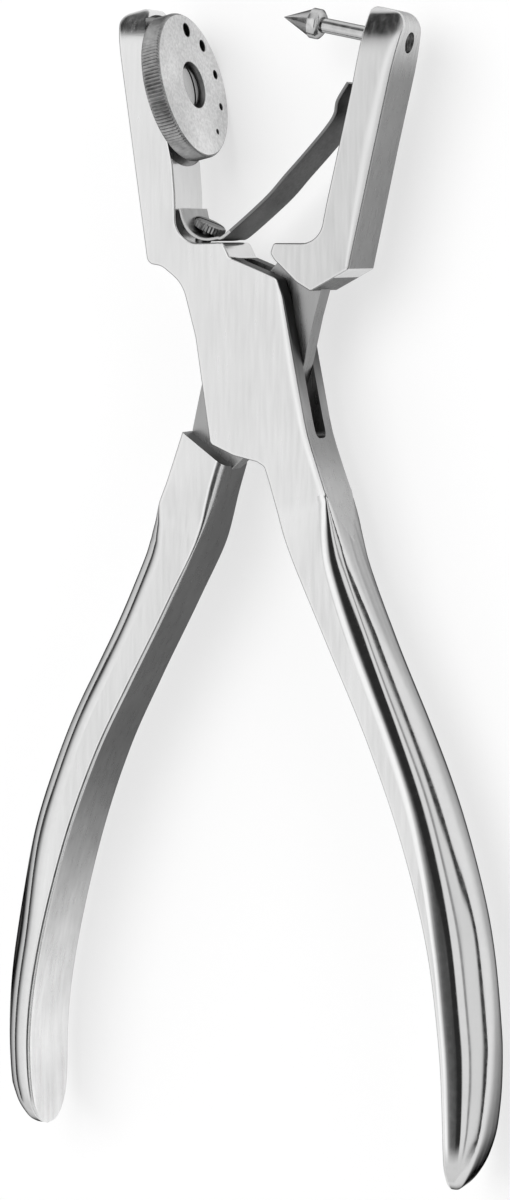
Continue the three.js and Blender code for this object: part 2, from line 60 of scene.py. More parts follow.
def arc_corners(points):
    """A closed outline from (x, y, radius) corners, each radius a true arc."""
    pts = [np.array(p[:2], float) for p in points]
    out = []
    n = len(pts)
    for i, p in enumerate(pts):
        a, b = pts[i - 1], pts[(i + 1) % n]
        da, db = (a - p) / np.linalg.norm(a - p), (b - p) / np.linalg.norm(b - p)
        radius = points[i][2]
        inner = math.acos(float(np.clip(da @ db, -1, 1)))
        if radius < 1e-6 or inner > math.pi - 0.01:
            out.append(p)
            continue
        reach = radius / math.tan(inner / 2)
        limit = ARC_ROOM * min(np.linalg.norm(a - p), np.linalg.norm(b - p))
        if reach > limit:
            radius *= limit / reach
            reach = limit
        mid = (da + db) / np.linalg.norm(da + db)
        centre = p + mid * (radius / math.sin(inner / 2))
        start, end = p + da * reach - centre, p + db * reach - centre
        a0 = math.atan2(start[1], start[0])
        sweep = (math.atan2(end[1], end[0]) - a0 + math.pi) % (2 * math.pi) - math.pi
        count = max(2, int(abs(math.degrees(sweep)) / ARC_STEP) + 1)
        for k in range(count + 1):
            t = a0 + sweep * k / count
            out.append(centre + radius * np.array([math.cos(t), math.sin(t)]))
    return np.array(out)


def spline(points, shares):
    """A Catmull-Rom curve through points: positions and unit tangents at shares of its length."""
    p = np.array(points, float)
    p = np.vstack([2 * p[0] - p[1], p, 2 * p[-1] - p[-2]])
    fine = []
    t = np.linspace(0, 1, 40, endpoint=False)[:, None]
    for i in range(1, len(p) - 2):
        m0, m1 = (p[i + 1] - p[i - 1]) / 2, (p[i + 2] - p[i]) / 2
        fine.append(
            (2 * t**3 - 3 * t**2 + 1) * p[i] + (t**3 - 2 * t**2 + t) * m0
            + (-2 * t**3 + 3 * t**2) * p[i + 1] + (t**3 - t**2) * m1)
    fine = np.vstack([*fine, p[-2][None]])
    length = np.concatenate([[0], np.cumsum(np.linalg.norm(np.diff(fine, axis=0), axis=1))])
    at = shares * length[-1]
    near = length[-1] / 400  # how far before and after a place its direction is read
    behind, pos, ahead = [
        np.stack([np.interp(at + move, length, fine[:, k]) for k in (0, 1)], 1)
        for move in (-near, 0, near)]
    tangent = ahead - behind
    return pos, tangent / np.linalg.norm(tangent, axis=1)[:, None]


def table(rows, at):
    """Smooth values of a table of (place, value, ...) rows, without overshoot."""
    rows = np.array(rows, float)
    x, out = rows[:, 0], []
    for k in range(1, rows.shape[1]):
        y = rows[:, k]
        d = np.diff(y) / np.diff(x)
        m = np.zeros_like(y)
        m[0], m[-1] = d[0], d[-1]
        for i in range(1, len(y) - 1):
            m[i] = 0 if d[i - 1] * d[i] <= 0 else 2 / (1 / d[i - 1] + 1 / d[i])
        i = np.clip(np.searchsorted(x, at) - 1, 0, len(d) - 1)
        h = x[i + 1] - x[i]
        t = np.clip((at - x[i]) / h, 0, 1)
        out.append((2 * t**3 - 3 * t**2 + 1) * y[i] + (t**3 - 2 * t**2 + t) * h * m[i]
                   + (-2 * t**3 + 3 * t**2) * y[i + 1] + (t**3 - t**2) * h * m[i + 1])
    return np.array(out)


# Mesh helpers
SEAM_ANGLE = math.radians(4)  # between two materials, where an edge starts to count as sharp


def new_object(name, bm, materials, sharp=28.0):
    """A mesh object in metres from a bmesh in millimetres about the mid-plane."""
    bm.normal_update()
    limit = math.radians(sharp)
    for f in bm.faces:
        f.smooth = True
    for e in bm.edges:
        if len(e.link_faces) == 2:
            differ = e.link_faces[0].material_index != e.link_faces[1].material_index
            angle = e.calc_face_angle(0.0)
            e.smooth = not (angle > limit or (differ and angle > SEAM_ANGLE))
    mesh = bpy.data.meshes.new(name)
    bm.to_mesh(mesh)
    bm.free()
    mesh.transform(Matrix.Translation((0, 0, MID * MM)) @ Matrix.Scale(MM, 4))
    obj = bpy.data.objects.new(name, mesh)
    bpy.context.scene.collection.objects.link(obj)
    for m in materials:
        mesh.materials.append(m)
    return obj


def mesh_from(verts, faces, mats=None):
    """A closed bmesh, faces out, from points, rings of point numbers and material slots."""
    bm = bmesh.new()
    points = [bm.verts.new(v) for v in verts]
    for i, ring in enumerate(faces):
        face = bm.faces.new([points[k] for k in ring])
        if mats is not None:
            face.material_index = mats[i]
    bmesh.ops.remove_doubles(bm, verts=bm.verts, dist=1e-5)
    bmesh.ops.recalc_face_normals(bm, faces=bm.faces)
    return bm


def turned(profile, segments, wobble=None):
    """A closed turned body about the X axis from (along, radius) rows.
    Radius 0 closes an end, and rows without it close on themselves as a ring.
    wobble(radius, angle) gives the radius at an angle."""
    verts, rings = [], []
    for along, radius in profile:
        if radius == 0:
            rings.append([len(verts)])
            verts.append((along, 0, 0))
            continue
        ring = []
        for k in range(segments):
            a = 2 * math.pi * k / segments
            r = radius if wobble is None else wobble(radius, a)
            ring.append(len(verts))
            verts.append((along, r * math.cos(a), r * math.sin(a)))
        rings.append(ring)
    faces = []
    pairs = list(zip(rings, rings[1:]))
    if profile[0][1] > 0 and profile[-1][1] > 0:
        pairs.append((rings[-1], rings[0]))
    for lower, upper in pairs:
        for k in range(segments):
            j = (k + 1) % segments
            if len(lower) == 1:
                faces.append([lower[0], upper[j], upper[k]])
            elif len(upper) == 1:
                faces.append([lower[k], lower[j], upper[0]])
            else:
                faces.append([lower[k], lower[j], upper[j], upper[k]])
    return mesh_from(verts, faces)


def place(bm, matrix):
    """Moves a bmesh and hands it back."""
    bmesh.ops.transform(bm, matrix=matrix, verts=bm.verts)
    return bm


def leaning(x, y, degrees):
    """From a piece's own X axis to a point of the tool, leaning up by an angle."""
    return Matrix.Translation((x, y, 0)) @ Matrix.Rotation(math.radians(degrees), 4, "Z")


def upright(bm):
    """Turns a piece from its own X axis to the tool's Z axis."""
    return place(bm, Matrix.Rotation(-math.pi / 2, 4, "Y"))


def rod(start, end, radius, segments):
    """A plain round cutter about the X axis."""
    return turned([(start, 0), (start, radius), (end, radius), (end, 0)], segments)


def tinted(bm, index):
    """Gives every face one material slot."""
    for f in bm.faces:
        f.material_index = index
    return bm


WELD = 2e-4  # what a cut leaves closer together than this becomes one point


def helper_object(bm):
    """A short-lived object for a cut. The bmesh is used up."""
    mesh = bpy.data.meshes.new("cut")
    bm.to_mesh(mesh)
    bm.free()
    obj = bpy.data.objects.new("cut", mesh)
    bpy.context.scene.collection.objects.link(obj)
    return obj


def boolean(bm, cutters, operation="DIFFERENCE"):
    """Exact boolean of a bmesh with each cutter in turn. All of them are used up."""
    obj = helper_object(bm)
    helpers = [helper_object(cutter) for cutter in cutters]
    for other in helpers:
        mod = obj.modifiers.new("cut", "BOOLEAN")
        mod.operation = operation
        mod.solver = "EXACT"
        mod.material_mode = "INDEX"
        mod.object = other
    graph = bpy.context.evaluated_depsgraph_get()
    out = bmesh.new()
    out.from_mesh(bpy.data.meshes.new_from_object(obj.evaluated_get(graph)))
    for o in [obj, *helpers]:
        bpy.data.objects.remove(o)
    bmesh.ops.remove_doubles(out, verts=out.verts, dist=WELD)
    bmesh.ops.dissolve_degenerate(out, edges=out.edges, dist=WELD)
    return out


# Plates and handles
# an edge turns softly at first, seen as a light ridge, and then tightly into the side
SIDE_STEPS = 44
CROWN_STEPS = 4
TIGHT_STEPS = 4
PROFILE = 2 * (CROWN_STEPS + TIGHT_STEPS) + SIDE_STEPS + 1  # points from back to front
SOFT = math.radians(15)  # how far the soft part turns

# material slots of the two forgings; the steels of SIDE, INSIDE, MOUTH_WALL, ARM_FLAT and HOLE carry
# painted shade
FRONT, SIDE, BAND, HOLE, INSIDE, MOUTH_WALL, ARM_FLAT = range(7)


def edge_profile(half, wide, tight):
    """(inward, z) rows from the back flat round the side to the front flat."""
    big = wide / math.sin(SOFT)
    total = wide + tight * (1 - math.sin(SOFT))
    lead = half - big * (1 - math.cos(SOFT))
    rows = []
    for k in range(CROWN_STEPS + 1):
        a = SOFT * k / CROWN_STEPS
        rows.append((total - big * math.sin(a), half - big * (1 - math.cos(a))))
    for k in range(1, TIGHT_STEPS + 1):
        a = SOFT + (math.pi / 2 - SOFT) * k / TIGHT_STEPS
        rows.append((tight * (1 - math.sin(a)), lead - tight * (math.cos(SOFT) - math.cos(a))))
    low = rows[-1][1]
    side = [(0.0, low - 2 * low * k / SIDE_STEPS) for k in range(1, SIDE_STEPS)]
    front = rows + side
    back = [(d, -z) for d, z in rows[::-1]]
    return np.array((front + back)[::-1])


def inward_normals(outline):
    """Left-hand normals of a closed counter-clockwise outline, lengthened at its corners."""
    before = outline - np.roll(outline, 1, 0)
    after = np.roll(outline, -1, 0) - outline
    before /= np.linalg.norm(before, axis=1)[:, None] + 1e-12
    after /= np.linalg.norm(after, axis=1)[:, None] + 1e-12
    n0 = np.stack([-before[:, 1], before[:, 0]], 1)
    n1 = np.stack([-after[:, 1], after[:, 0]], 1)
    mid = n0 + n1
    mid /= np.linalg.norm(mid, axis=1)[:, None]
    return mid / np.clip((mid * n1).sum(1), 0.5, 1)[:, None]


def edge_band(m):
    """Whether a step of a profile lies on the soft part of an edge."""
    return m < CROWN_STEPS or m >= PROFILE - 1 - CROWN_STEPS


def share_of(value, start, end):
    """How far a value is from start to end, from 0 to 1."""
    return min(1.0, max(0.0, (value - start) / (end - start)))


def facing_right(nx):
    """1 for an edge that faces right, 0 for the others, by its normal's X."""
    t = share_of(nx, 0.45, 0.75)
    return t * t * (3 - 2 * t)


def plate(corners, half, edge, flat_mat=FRONT):
    """A closed plate about the mid-plane. edge(x, y) gives its rounding's soft and tight size."""
    outline = arc_corners(corners)
    normals = inward_normals(outline)
    n, k = len(outline), PROFILE
    verts = [(*(p + q * d), z) for p, q in zip(outline, normals)
             for d, z in edge_profile(half, *edge(*p))]
    faces, mats = [], []
    for i in range(n):
        j = (i + 1) % n
        for m in range(k - 1):
            faces.append([i * k + m, j * k + m, j * k + m + 1, i * k + m + 1])
            mats.append(flat_mat if edge_band(m) else SIDE)
    faces.append([i * k + k - 1 for i in range(n)])
    faces.append([i * k for i in range(n)][::-1])
    mats += [flat_mat, flat_mat]
    return mesh_from(verts, faces, mats)


# a grip is ground in bands, each turning from one of these angles to the next
TURNS = [2, 15, 18, 31, 35, 42, 45.5, 51, 57]
BAND_STEPS = 6


def grip_line(t, half, flat, bands, wall):
    """A grip's section from the front flat to the wall or the mid-plane."""
    steps, angles = [], []
    for length, a, b in zip(bands, TURNS, TURNS[1:]):
        for k in range(BAND_STEPS):
            steps.append(length / BAND_STEPS)
            angles.append(math.radians(a + (b - a) * (k + 0.5) / BAND_STEPS))
    steps, angles = np.array(steps), np.array(angles)
    across, down = steps * np.cos(angles), steps * np.sin(angles)
    # the first band keeps its size longest, the others shrink where there is little room
    first = np.arange(len(steps)) < BAND_STEPS
    ridge = min(1.0, 0.8 * (t - flat) / across[first].sum(),
                0.95 * (half - wall) / down[first].sum())
    left_u = 0.94 * (t - flat) - ridge * across[first].sum()
    left_z = 0.97 * (half - wall) - ridge * down[first].sum()
    share = np.where(first, ridge, max(0.0, min(1.0, left_u / across[~first].sum(),
                                                left_z / down[~first].sum())))
    u = flat + np.concatenate([[0], np.cumsum(share * across)])
    z = half - np.concatenate([[0], np.cumsum(share * down)])
    reach = math.hypot(t - u[-1], z[-1] - wall)
    last = math.radians(TURNS[-1])
    lead = min(0.45 * reach, 0.9 * (t - u[-1]) / math.cos(last))
    c = np.linspace(0, 1, 25)[1:, None]
    p0, p3 = np.array([u[-1], z[-1]]), np.array([t, wall])
    p1 = p0 + lead * np.array([math.cos(last), -math.sin(last)])
    p2 = p3 + np.array([0, 0.45 * (z[-1] - wall)])
    curve = (1 - c) ** 3 * p0 + 3 * c * (1 - c) ** 2 * p1 + 3 * c * c * (1 - c) * p2 + c ** 3 * p3
    return np.concatenate([np.stack([u, z], 1), curve])


STREAK_DEPTH = 0.008
STREAK_PEAK, STREAK_SPREAD = 0.22, 0.12  # where along a handle the waves are deepest
# level, waves across the grip, sway along the handle: its size, pace and phase
STREAKS = [(0.5, 5.3, 0.6, 7, 0), (0.35, 9.7, 1.1, 4, 1), (0.15, 15, 1.7, 3, 2)]


def outer_profile(t, half, flat, bands, wall, even, at, edge):
    """One outer profile of a handle: a square head, which a rounded grip cuts into.
    at: its place along the handle, from 0 to 1.
    Returns the points from back to front and which of them lie on the grip."""
    square = np.array([(t - d, z) for d, z in edge_profile(half, *edge)])
    share = share_of(wall, 1, 0.92)
    if share == 0:
        return square, np.zeros(PROFILE, bool)
    grip = grip_line(t, half, flat, bands, wall * half)
    line = np.concatenate([grip * (1, -1), grip[::-1]])
    run = np.concatenate([[0], np.cumsum(np.linalg.norm(np.diff(line, axis=0), axis=1))])
    run_s = np.concatenate([[0], np.cumsum(np.linalg.norm(np.diff(square, axis=0), axis=1))])
    shares = (1 - even) * run_s / run_s[-1] + even * np.linspace(0, 1, PROFILE)
    points = np.stack([np.interp(shares * run[-1], run, line[:, i]) for i in (0, 1)], 1)
    on_grip = np.abs(points[:, 1]) >= wall * half - 1e-6
    # faint waves along the handle, as grinding by hand leaves them
    streak = sum(level * np.sin(2 * math.pi * (waves * shares + sway * math.sin(pace * at + late)))
                 for level, waves, sway, pace, late in STREAKS)
    rise = np.clip(np.minimum(shares, 1 - shares) * 9, 0, 1) * on_grip
    rise = rise * share_of(wall, 1, 1 / 3)
    peak = 1.2 * math.exp(-((at - STREAK_PEAK) / STREAK_SPREAD) ** 2)
    amount = STREAK_DEPTH * (1 + peak) * min(1.0, t / 4)
    centre = np.array([0.3 * t, 0.0])
    out = (points - centre) / np.linalg.norm(points - centre, axis=1)[:, None]
    points = points - out * (amount * (streak + 1.05) * rise)[:, None]
    return square + share * (points - square), on_grip & (share > 0.25)


def handle_sections(inner_points, rows, outward, shares, bands, rounding, edge):
    """Inner and outer profile points of each cross-section of a handle.
    rows: place, thickness, depth, front flat, wall left of the square head, evenness, mix.
    bands: the grip's bands at its upper and lower part; rounding: rows of the inner edge."""
    at, along = spline(inner_points, shares)
    across = np.stack([-along[:, 1], along[:, 0]], 1) * outward
    thick, depth, flat, wall, even, mix = table(rows, shares)
    wide, tight = table(rounding, shares)
    upper, lower = np.array(bands[0]), np.array(bands[1])
    inner, outer, grips = [], [], []
    for i in range(len(at)):
        half, t = depth[i] / 2, thick[i]
        small = min(1.0, half / 3, t / 3)
        box = edge_profile(half, wide[i] * small, tight[i] * small)
        inner.append([(*(at[i] + across[i] * d), z) for d, z in box])
        own = (1 - mix[i]) * upper + mix[i] * lower
        points, on_grip = outer_profile(t, half, min(flat[i], 0.98 * t), own, wall[i], even[i],
                                        shares[i], edge)
        outer.append([(*(at[i] + across[i] * u), z) for u, z in points])
        grips.append(on_grip)
    return np.array(inner), np.array(outer), np.array(grips)


# (y, half thickness) rows of the arm's and the jaw's thinned upper ends
CROWN = [(41.5, 4.7), (43.5, 4.48), (45.0, 4.2), (46.5, 3.8), (47.6, 3.33), (48.6, 2.8),
         (49.6, 2.25), (50.15, 1.65), (50.45, 1.0), (50.66, 0.12)]
JAW_CROWN = [(43.6, 4.7), (45.0, 4.6), (46.2, 4.42), (47.3, 4.1), (48.3, 3.64), (49.2, 3.14),
             (49.9, 2.72), (50.35, 2.43), (50.6, 2.26), (50.66, 2.15)]
CROWN_CUTS = 20
JAW_TOP, ARM_TOP = 50.7, 50.1


def bend_crown(bm, top, rows):
    """Thins and rounds a plate's end from front to back. top: where the rows' last y goes."""
    shift = top - rows[-1][0]
    levels = [rows[0][0] + (rows[-1][0] - rows[0][0]) * math.sin(math.pi / 2 * k / CROWN_CUTS)
              for k in range(CROWN_CUTS)]
    for level in levels:
        bmesh.ops.bisect_plane(bm, geom=[*bm.verts, *bm.edges, *bm.faces], dist=1e-6,
                               plane_co=(0, level + shift, 0), plane_no=(0, 1, 0))
    for v in bm.verts:
        if v.co.y > rows[0][0] + shift:
            v.co.z *= float(table(rows, np.array([v.co.y - shift]))[0][0]) / HALF
    return bm


# Materials
ALONG = (1.0, 0.08, 1.0)  # stretches a pattern along the tool
WAVE_SCALE = 95  # the broad relief's waves in a metre


def node_material(name):
    """A material with one shader: itself, its node tree and the shader."""
    m = bpy.data.materials.new(name)
    m.use_nodes = True
    nt = m.node_tree
    nt.nodes.clear()
    out = nt.nodes.new("ShaderNodeOutputMaterial")
    bsdf = nt.nodes.new("ShaderNodeBsdfPrincipled")
    nt.links.new(bsdf.outputs["BSDF"], out.inputs["Surface"])
    return m, nt, bsdf


def noise_node(nt, scale, detail, stretch=None):
    """The value of a noise over the object."""
    coord = nt.nodes.new("ShaderNodeTexCoord")
    source = coord.outputs["Object"]
    if stretch:
        mapping = nt.nodes.new("ShaderNodeMapping")
        mapping.inputs["Scale"].default_value = stretch
        nt.links.new(source, mapping.inputs["Vector"])
        source = mapping.outputs["Vector"]
    n = nt.nodes.new("ShaderNodeTexNoise")
    n.inputs["Scale"].default_value = scale
    n.inputs["Detail"].default_value = detail
    nt.links.new(source, n.inputs["Vector"])
    return n.outputs["Fac"]


NOISE_LOW, NOISE_HIGH = 0.3, 0.7  # what most of a noise lies between


def map_range(nt, source, start, end, low=0.0, high=1.0):
    """A node that takes start to end over to low to high."""
    r = nt.nodes.new("ShaderNodeMapRange")
    r.inputs["From Min"].default_value = start
    r.inputs["From Max"].default_value = end
    r.inputs["To Min"].default_value = low
    r.inputs["To Max"].default_value = high
    nt.links.new(source, r.inputs["Value"])
    return r


def swing(nt, noise, low, high):
    """Spreads a noise between two levels."""
    return map_range(nt, noise, NOISE_LOW, NOISE_HIGH, low, high).outputs["Result"]


def scaled(nt, colour, level):
    """A colour made lighter or darker by the level that another node gives."""
    node = nt.nodes.new("ShaderNodeVectorMath")
    node.operation = "SCALE"
    nt.links.new(colour, node.inputs[0])
    nt.links.new(level, node.inputs["Scale"])
    return node.outputs["Vector"]


def math_node(nt, operation, first, second):
    """A calculation with two other nodes' values."""
    node = nt.nodes.new("ShaderNodeMath")
    node.operation = operation
    nt.links.new(first, node.inputs[0])
    nt.links.new(second, node.inputs[1])
    return node.outputs["Value"]


def grey(nt, source):
    c = nt.nodes.new("ShaderNodeCombineColor")
    for s in ("Red", "Green", "Blue"):
        nt.links.new(source, c.inputs[s])
    return c.outputs["Color"]


def bump_node(nt, depth, height):
    """Relief of a depth in millimetres."""
    b = nt.nodes.new("ShaderNodeBump")
    b.inputs["Strength"].default_value = 1.0
    b.inputs["Distance"].default_value = depth * MM
    nt.links.new(height, b.inputs["Height"])
    return b


def steel(name, tone, rough, tone_swing=0.03, rough_swing=0.05, grain=900, stretch=None,
          bump=0.0, bump_scale=600, mottle=90, edge=1.0, wave=0.0):
    """Steel whose tone, roughness and fine relief vary a little over the surface.
    edge: its tone seen edge on, where a low value paints a dark rim along the outlines as painted
    shade; bump and wave: depths of the fine and the broad relief."""
    m, nt, bsdf = node_material(name)
    fine = noise_node(nt, grain, 5, stretch)
    broad = noise_node(nt, mottle, 3)
    mix = nt.nodes.new("ShaderNodeMix")
    mix.data_type = "FLOAT"
    mix.inputs["Factor"].default_value = 0.5
    nt.links.new(fine, mix.inputs["A"])
    nt.links.new(broad, mix.inputs["B"])
    shade = swing(nt, mix.outputs["Result"], tone - tone_swing, tone + tone_swing)
    nt.links.new(grey(nt, shade), bsdf.inputs["Base Color"])
    nt.links.new(swing(nt, fine, rough - rough_swing, rough + rough_swing), bsdf.inputs["Roughness"])
    bsdf.inputs["Metallic"].default_value = 1.0
    bsdf.inputs["Specular Tint"].default_value = (edge, edge, edge, 1)
    if bump > 0:
        relief = bump_node(nt, bump, noise_node(nt, bump_scale, 4, stretch))
        nt.links.new(relief.outputs["Normal"], bsdf.inputs["Normal"])
        if wave > 0:
            soft = bump_node(nt, wave, noise_node(nt, WAVE_SCALE, 1, stretch))
            nt.links.new(soft.outputs["Normal"], relief.inputs["Normal"])
    return m


def painted_shade_steel(name, low, high, start, end, rough, **look):
    """Ground steel with painted shade, lighter along the tool, from low at y = start to high at y =
    end.
    """
    m = steel(name, low, rough, stretch=ALONG, bump_scale=1600, **look)
    nt = m.node_tree
    bsdf = nt.nodes["Principled BSDF"]
    source = bsdf.inputs["Base Color"].links[0].from_socket
    coord = nt.nodes.new("ShaderNodeTexCoord")
    split = nt.nodes.new("ShaderNodeSeparateXYZ")
    nt.links.new(coord.outputs["Object"], split.inputs["Vector"])
    gain = map_range(nt, split.outputs["Y"], start * MM, end * MM, 1.0, high / low)
    gain.interpolation_type = "SMOOTHSTEP"
    nt.links.new(scaled(nt, source, gain.outputs["Result"]), bsdf.inputs["Base Color"])
    return m


BRUSHED = dict(tone_swing=0.05, grain=1500, stretch=ALONG, bump=0.0012, bump_scale=1200,
               mottle=55, wave=0.2)
SATIN = steel("satin_front", 0.73, 0.23, **BRUSHED)
# painted shade: the arm's front flat takes a darker copy of the satin front steel
ARM_FRONT_SHADED = steel("arm_front_painted_shade", 0.64, 0.22, **BRUSHED)
GROUND = dict(tone_swing=0.04, grain=1800, bump=0.0012, edge=0.4)
# painted shade: the ground side faces are far darker than the front, getting lighter towards the
# handle on the box and towards the top on the arm
BOX_SIDE_SHADE = painted_shade_steel("ground_box_side_painted_shade", 0.37, 0.60, -11, -19, 0.30, **GROUND)
ARM_SIDE_SHADE = painted_shade_steel("ground_arm_side_painted_shade", 0.37, 0.80, 39, 47, 0.30, **GROUND)
# painted shade: the handles' inner faces are dark near the box and get lighter towards the tips
INNER_SHADE = painted_shade_steel("ground_inner_painted_shade", 0.17, 0.93, -56, -101, 0.30, bump=0.0005, edge=0.5)
# painted shade: darkest at the mouth of the box's slot, lighter below it
MOUTH_SHADE = painted_shade_steel("ground_mouth_painted_shade", 0.13, 0.36, 3, -8, 0.34, bump=0.0005, edge=0.5)
POLISH = steel("polished", 0.70, 0.10, tone_swing=0.03, rough_swing=0.03, bump=0.0015,
               bump_scale=160, edge=0.0)
BLAST = steel("blasted", 0.80, 0.55, tone_swing=0.22, bump=0.03, bump_scale=2400,
              grain=2100, edge=0.5)
RIM_STEEL = steel("rim", 0.35, 0.36, tone_swing=0.16, bump=0.006, bump_scale=1500,
                  grain=1300, edge=0.4, mottle=300)
BRIGHT = steel("bright", 0.47, 0.16, tone_swing=0.02, bump=0.001, bump_scale=900, edge=0.2)
PUNCH = steel("punch_steel", 0.56, 0.19, tone_swing=0.08, bump=0.0015, bump_scale=1300, edge=0.0)
# the set screw's own dark steel, and painted shade in the bores, the wheel's holes and track and the
# screws' slots
DARK_STEEL_AND_SHADE = steel("dark", 0.13, 0.36, bump=0.006, bump_scale=1500)
# painted light and shade on the leaf: one steel in four tones, its long broad faces and free edges
# dark, its hook end lighter and the hook's edges and ends light
LEAF_SHADE = steel("leaf", 0.17, 0.40, tone_swing=0.10, bump=0.010, bump_scale=1900,
             grain=2200, edge=0.5)
LEAF_ROOT_PAINTED_LIGHT = steel("leaf_root", 0.48, 0.36, tone_swing=0.10, bump=0.006, bump_scale=1900, edge=0.5)
LEAF_EDGE_HIGHLIGHT = steel("leaf_edge", 0.52, 0.30, edge=0.4)
LEAF_LINE_SHADE = steel("leaf_line", 0.20, 0.36, edge=0.4)
KNURL = steel("knurl", 0.34, 0.34, bump=0.003, bump_scale=1500, edge=0.5)

# Where the pieces sit, by the point that their own X axis starts from and its lean
ON_WHEEL = leaning(-11.7, 39.6, 13)
ON_PUNCH = leaning(2.5, 48.9, -12)
ON_LEAF_SCREW = leaning(-10.1, 17.65, 64)
HOLE_RING = 8.25  # from the wheel's centre to its holes and to the ball
PIN_BORE = 2.53
FAR = 9.0  # a cut that goes through starts and ends this far out
OUT = 3.0  # how far a blind cut starts outside

# The handles: points of the inner side, the lengths of the grip's bands at its upper and lower
# part, rows of the cross-section along it, and rows of the inner edge's soft and tight size
RIGHT_INNER = [(0.4, -11.5), (4.8, -24.8), (11.2, -39.2), (17.9, -53.5), (23.4, -67.6),
               (27.4, -82.0), (29.4, -96.0), (30.0, -108.0), (29.76, -118.5)]
LEFT_INNER = [(-3.52, -10.84), (-8.04, -24.5), (-13.6, -36.0), (-19.65, -47.5), (-25.1, -58.5),
              (-30.1, -72.0), (-34.3, -88.0), (-36.2, -101.0), (-36.1, -115.8)]
RIGHT_BANDS = ([1.2, 0.05, 1.15, 0.1, 0.45, 0.25, 0.55, 1.2],
               [0.5, 1.75, 0.45, 0.1, 1.2, 0.1, 2.3, 0.85])
LEFT_BANDS = ([0.6, 0.18, 0.75, 0.35, 0.6, 0.35, 0.45, 0.45],
              [1.3, 0.25, 0.85, 0.35, 0.6, 0.35, 0.45, 0.45])
# place, thickness, depth, front flat, wall, evenness, mix of the bands
TIP_ROWS = [
    (0.76, 6.95, 13.4, 0.6, 0, 1, 1), (0.86, 6.15, 13.3, 0.5, 0, 1, 1),
    (0.92, 5.15, 12.8, 0.45, 0, 1, 1), (0.96, 3.75, 11.3, 0.4, 0, 1, 1),
    (0.985, 2.35, 8.0, 0.3, 0, 1, 1), (0.996, 1.35, 4.8, 0.2, 0, 1, 1),
    (1.0, 0.6, 2.2, 0.1, 0, 1, 1)]
RIGHT_ROWS = [
    (0.00, 7.95, 9.4, 6.57, 1, 0, 0), (0.053, 8.0, 9.4, 6.62, 1, 0, 0),
    (0.084, 8.1, 9.6, 6.7, 1, 0, 0), (0.095, 8.12, 9.8, 6.65, 0.93, 0.2, 0),
    (0.11, 8.12, 10.3, 6.35, 0.76, 0.6, 0), (0.133, 8.05, 10.85, 5.75, 0.44, 1, 0),
    (0.15, 7.9, 11.0, 5.2, 0.18, 1, 0), (0.163, 7.78, 11.05, 4.8, 0, 1, 0),
    (0.19, 7.5, 11.0, 4.1, 0, 1, 0), (0.25, 7.28, 11.0, 3.3, 0, 1, 0),
    (0.32, 7.2, 11.2, 2.75, 0, 1, 0), (0.37, 7.2, 11.5, 2.5, 0, 1, 0),
    (0.48, 7.25, 12.2, 2.3, 0, 1, 0.1), (0.59, 7.3, 12.85, 1.6, 0, 1, 0.5),
    (0.68, 7.22, 13.2, 0.9, 0, 1, 1), *TIP_ROWS]
LEFT_ROWS = [
    (0.0, 7.75, 9.35, 7.1, 1, 0, 0), (0.0837, 8.05, 9.4, 7.4, 1, 0, 0),
    (0.1109, 8.12, 9.75, 7.5, 1, 0, 0), (0.1168, 8.12, 9.85, 7.45, 0.94, 0.2, 0),
    (0.1304, 8.08, 10.2, 6.9, 0.74, 0.6, 0), (0.147, 7.98, 10.7, 6.0, 0.4, 1, 0),
    (0.1665, 7.88, 11.0, 5.2, 0.1, 1, 0), (0.1763, 7.83, 11.05, 4.8, 0, 1, 0),
    (0.2006, 7.72, 11.1, 4.3, 0, 1, 0), (0.2591, 7.5, 11.1, 3.9, 0, 1, 0),
    (0.3176, 7.3, 11.2, 3.6, 0, 1, 0), (0.4151, 7.25, 11.7, 3.4, 0, 1, 0.2),
    (0.5126, 7.35, 12.3, 3.0, 0, 1, 0.5), (0.6101, 7.45, 12.9, 2.3, 0, 1, 1), *TIP_ROWS]
RIGHT_EDGE = [(0, 0.34, 0.2), (1, 0.34, 0.2)]
LEFT_EDGE = [(0, 0.5, 1.6), (0.065, 0.5, 1.6), (0.152, 0.4, 0.35), (0.22, 0.25, 0.6),
             (0.9, 0.3, 0.7), (1, 0.3, 0.4)]


# places along a handle: the grip's wedge starts and ends, the tip's rounding starts
WEDGE_START, WEDGE_END, TIP_START = 0.085, 0.18, 0.94


def handle_shares(start):
    """Places of the cross-sections, closest in the wedge and at the tip."""
    head = np.linspace(start, WEDGE_START, 8)[:-1]
    wedge = np.linspace(WEDGE_START, WEDGE_END, 64)[:-1]
    body = np.linspace(WEDGE_END, TIP_START, 92)
    tip = TIP_START + (1 - TIP_START) * np.sin(np.linspace(0, math.pi / 2, 22))[1:]
    return np.concatenate([head, wedge, body, tip])


def column_mat(kind, other, grips, i, j, m):
    """Material slot of step m of the ring's side between two columns.
    i, j: which outer columns of the handle these are, counted from its tip."""
    if kind == "in" and other == "in":
        near_edge = m < CROWN_STEPS + 3 or m > PROFILE - 5 - CROWN_STEPS
        return FRONT if near_edge else INSIDE
    if kind == "out" and other == "out":
        on_grip = sum(grips[-1 - c][m + d] for c in (i, j) for d in (0, 1))
        if on_grip > 2:
            return BAND
    return FRONT if edge_band(m) else SIDE


def ring_faces(kinds, grips, closed):
    """Side faces between neighbouring columns, and their material slots."""
    faces, mats = [], []
    n, k, n_h = len(kinds), PROFILE, len(grips)
    for i in range(n if closed else n - 1):
        j = (i + 1) % n
        for m in range(k - 1):
            faces.append([i * k + m, j * k + m, j * k + m + 1, i * k + m + 1])
            mats.append(column_mat(kinds[i], kinds[j], grips, i - n_h, j - n_h, m))
    return faces, mats


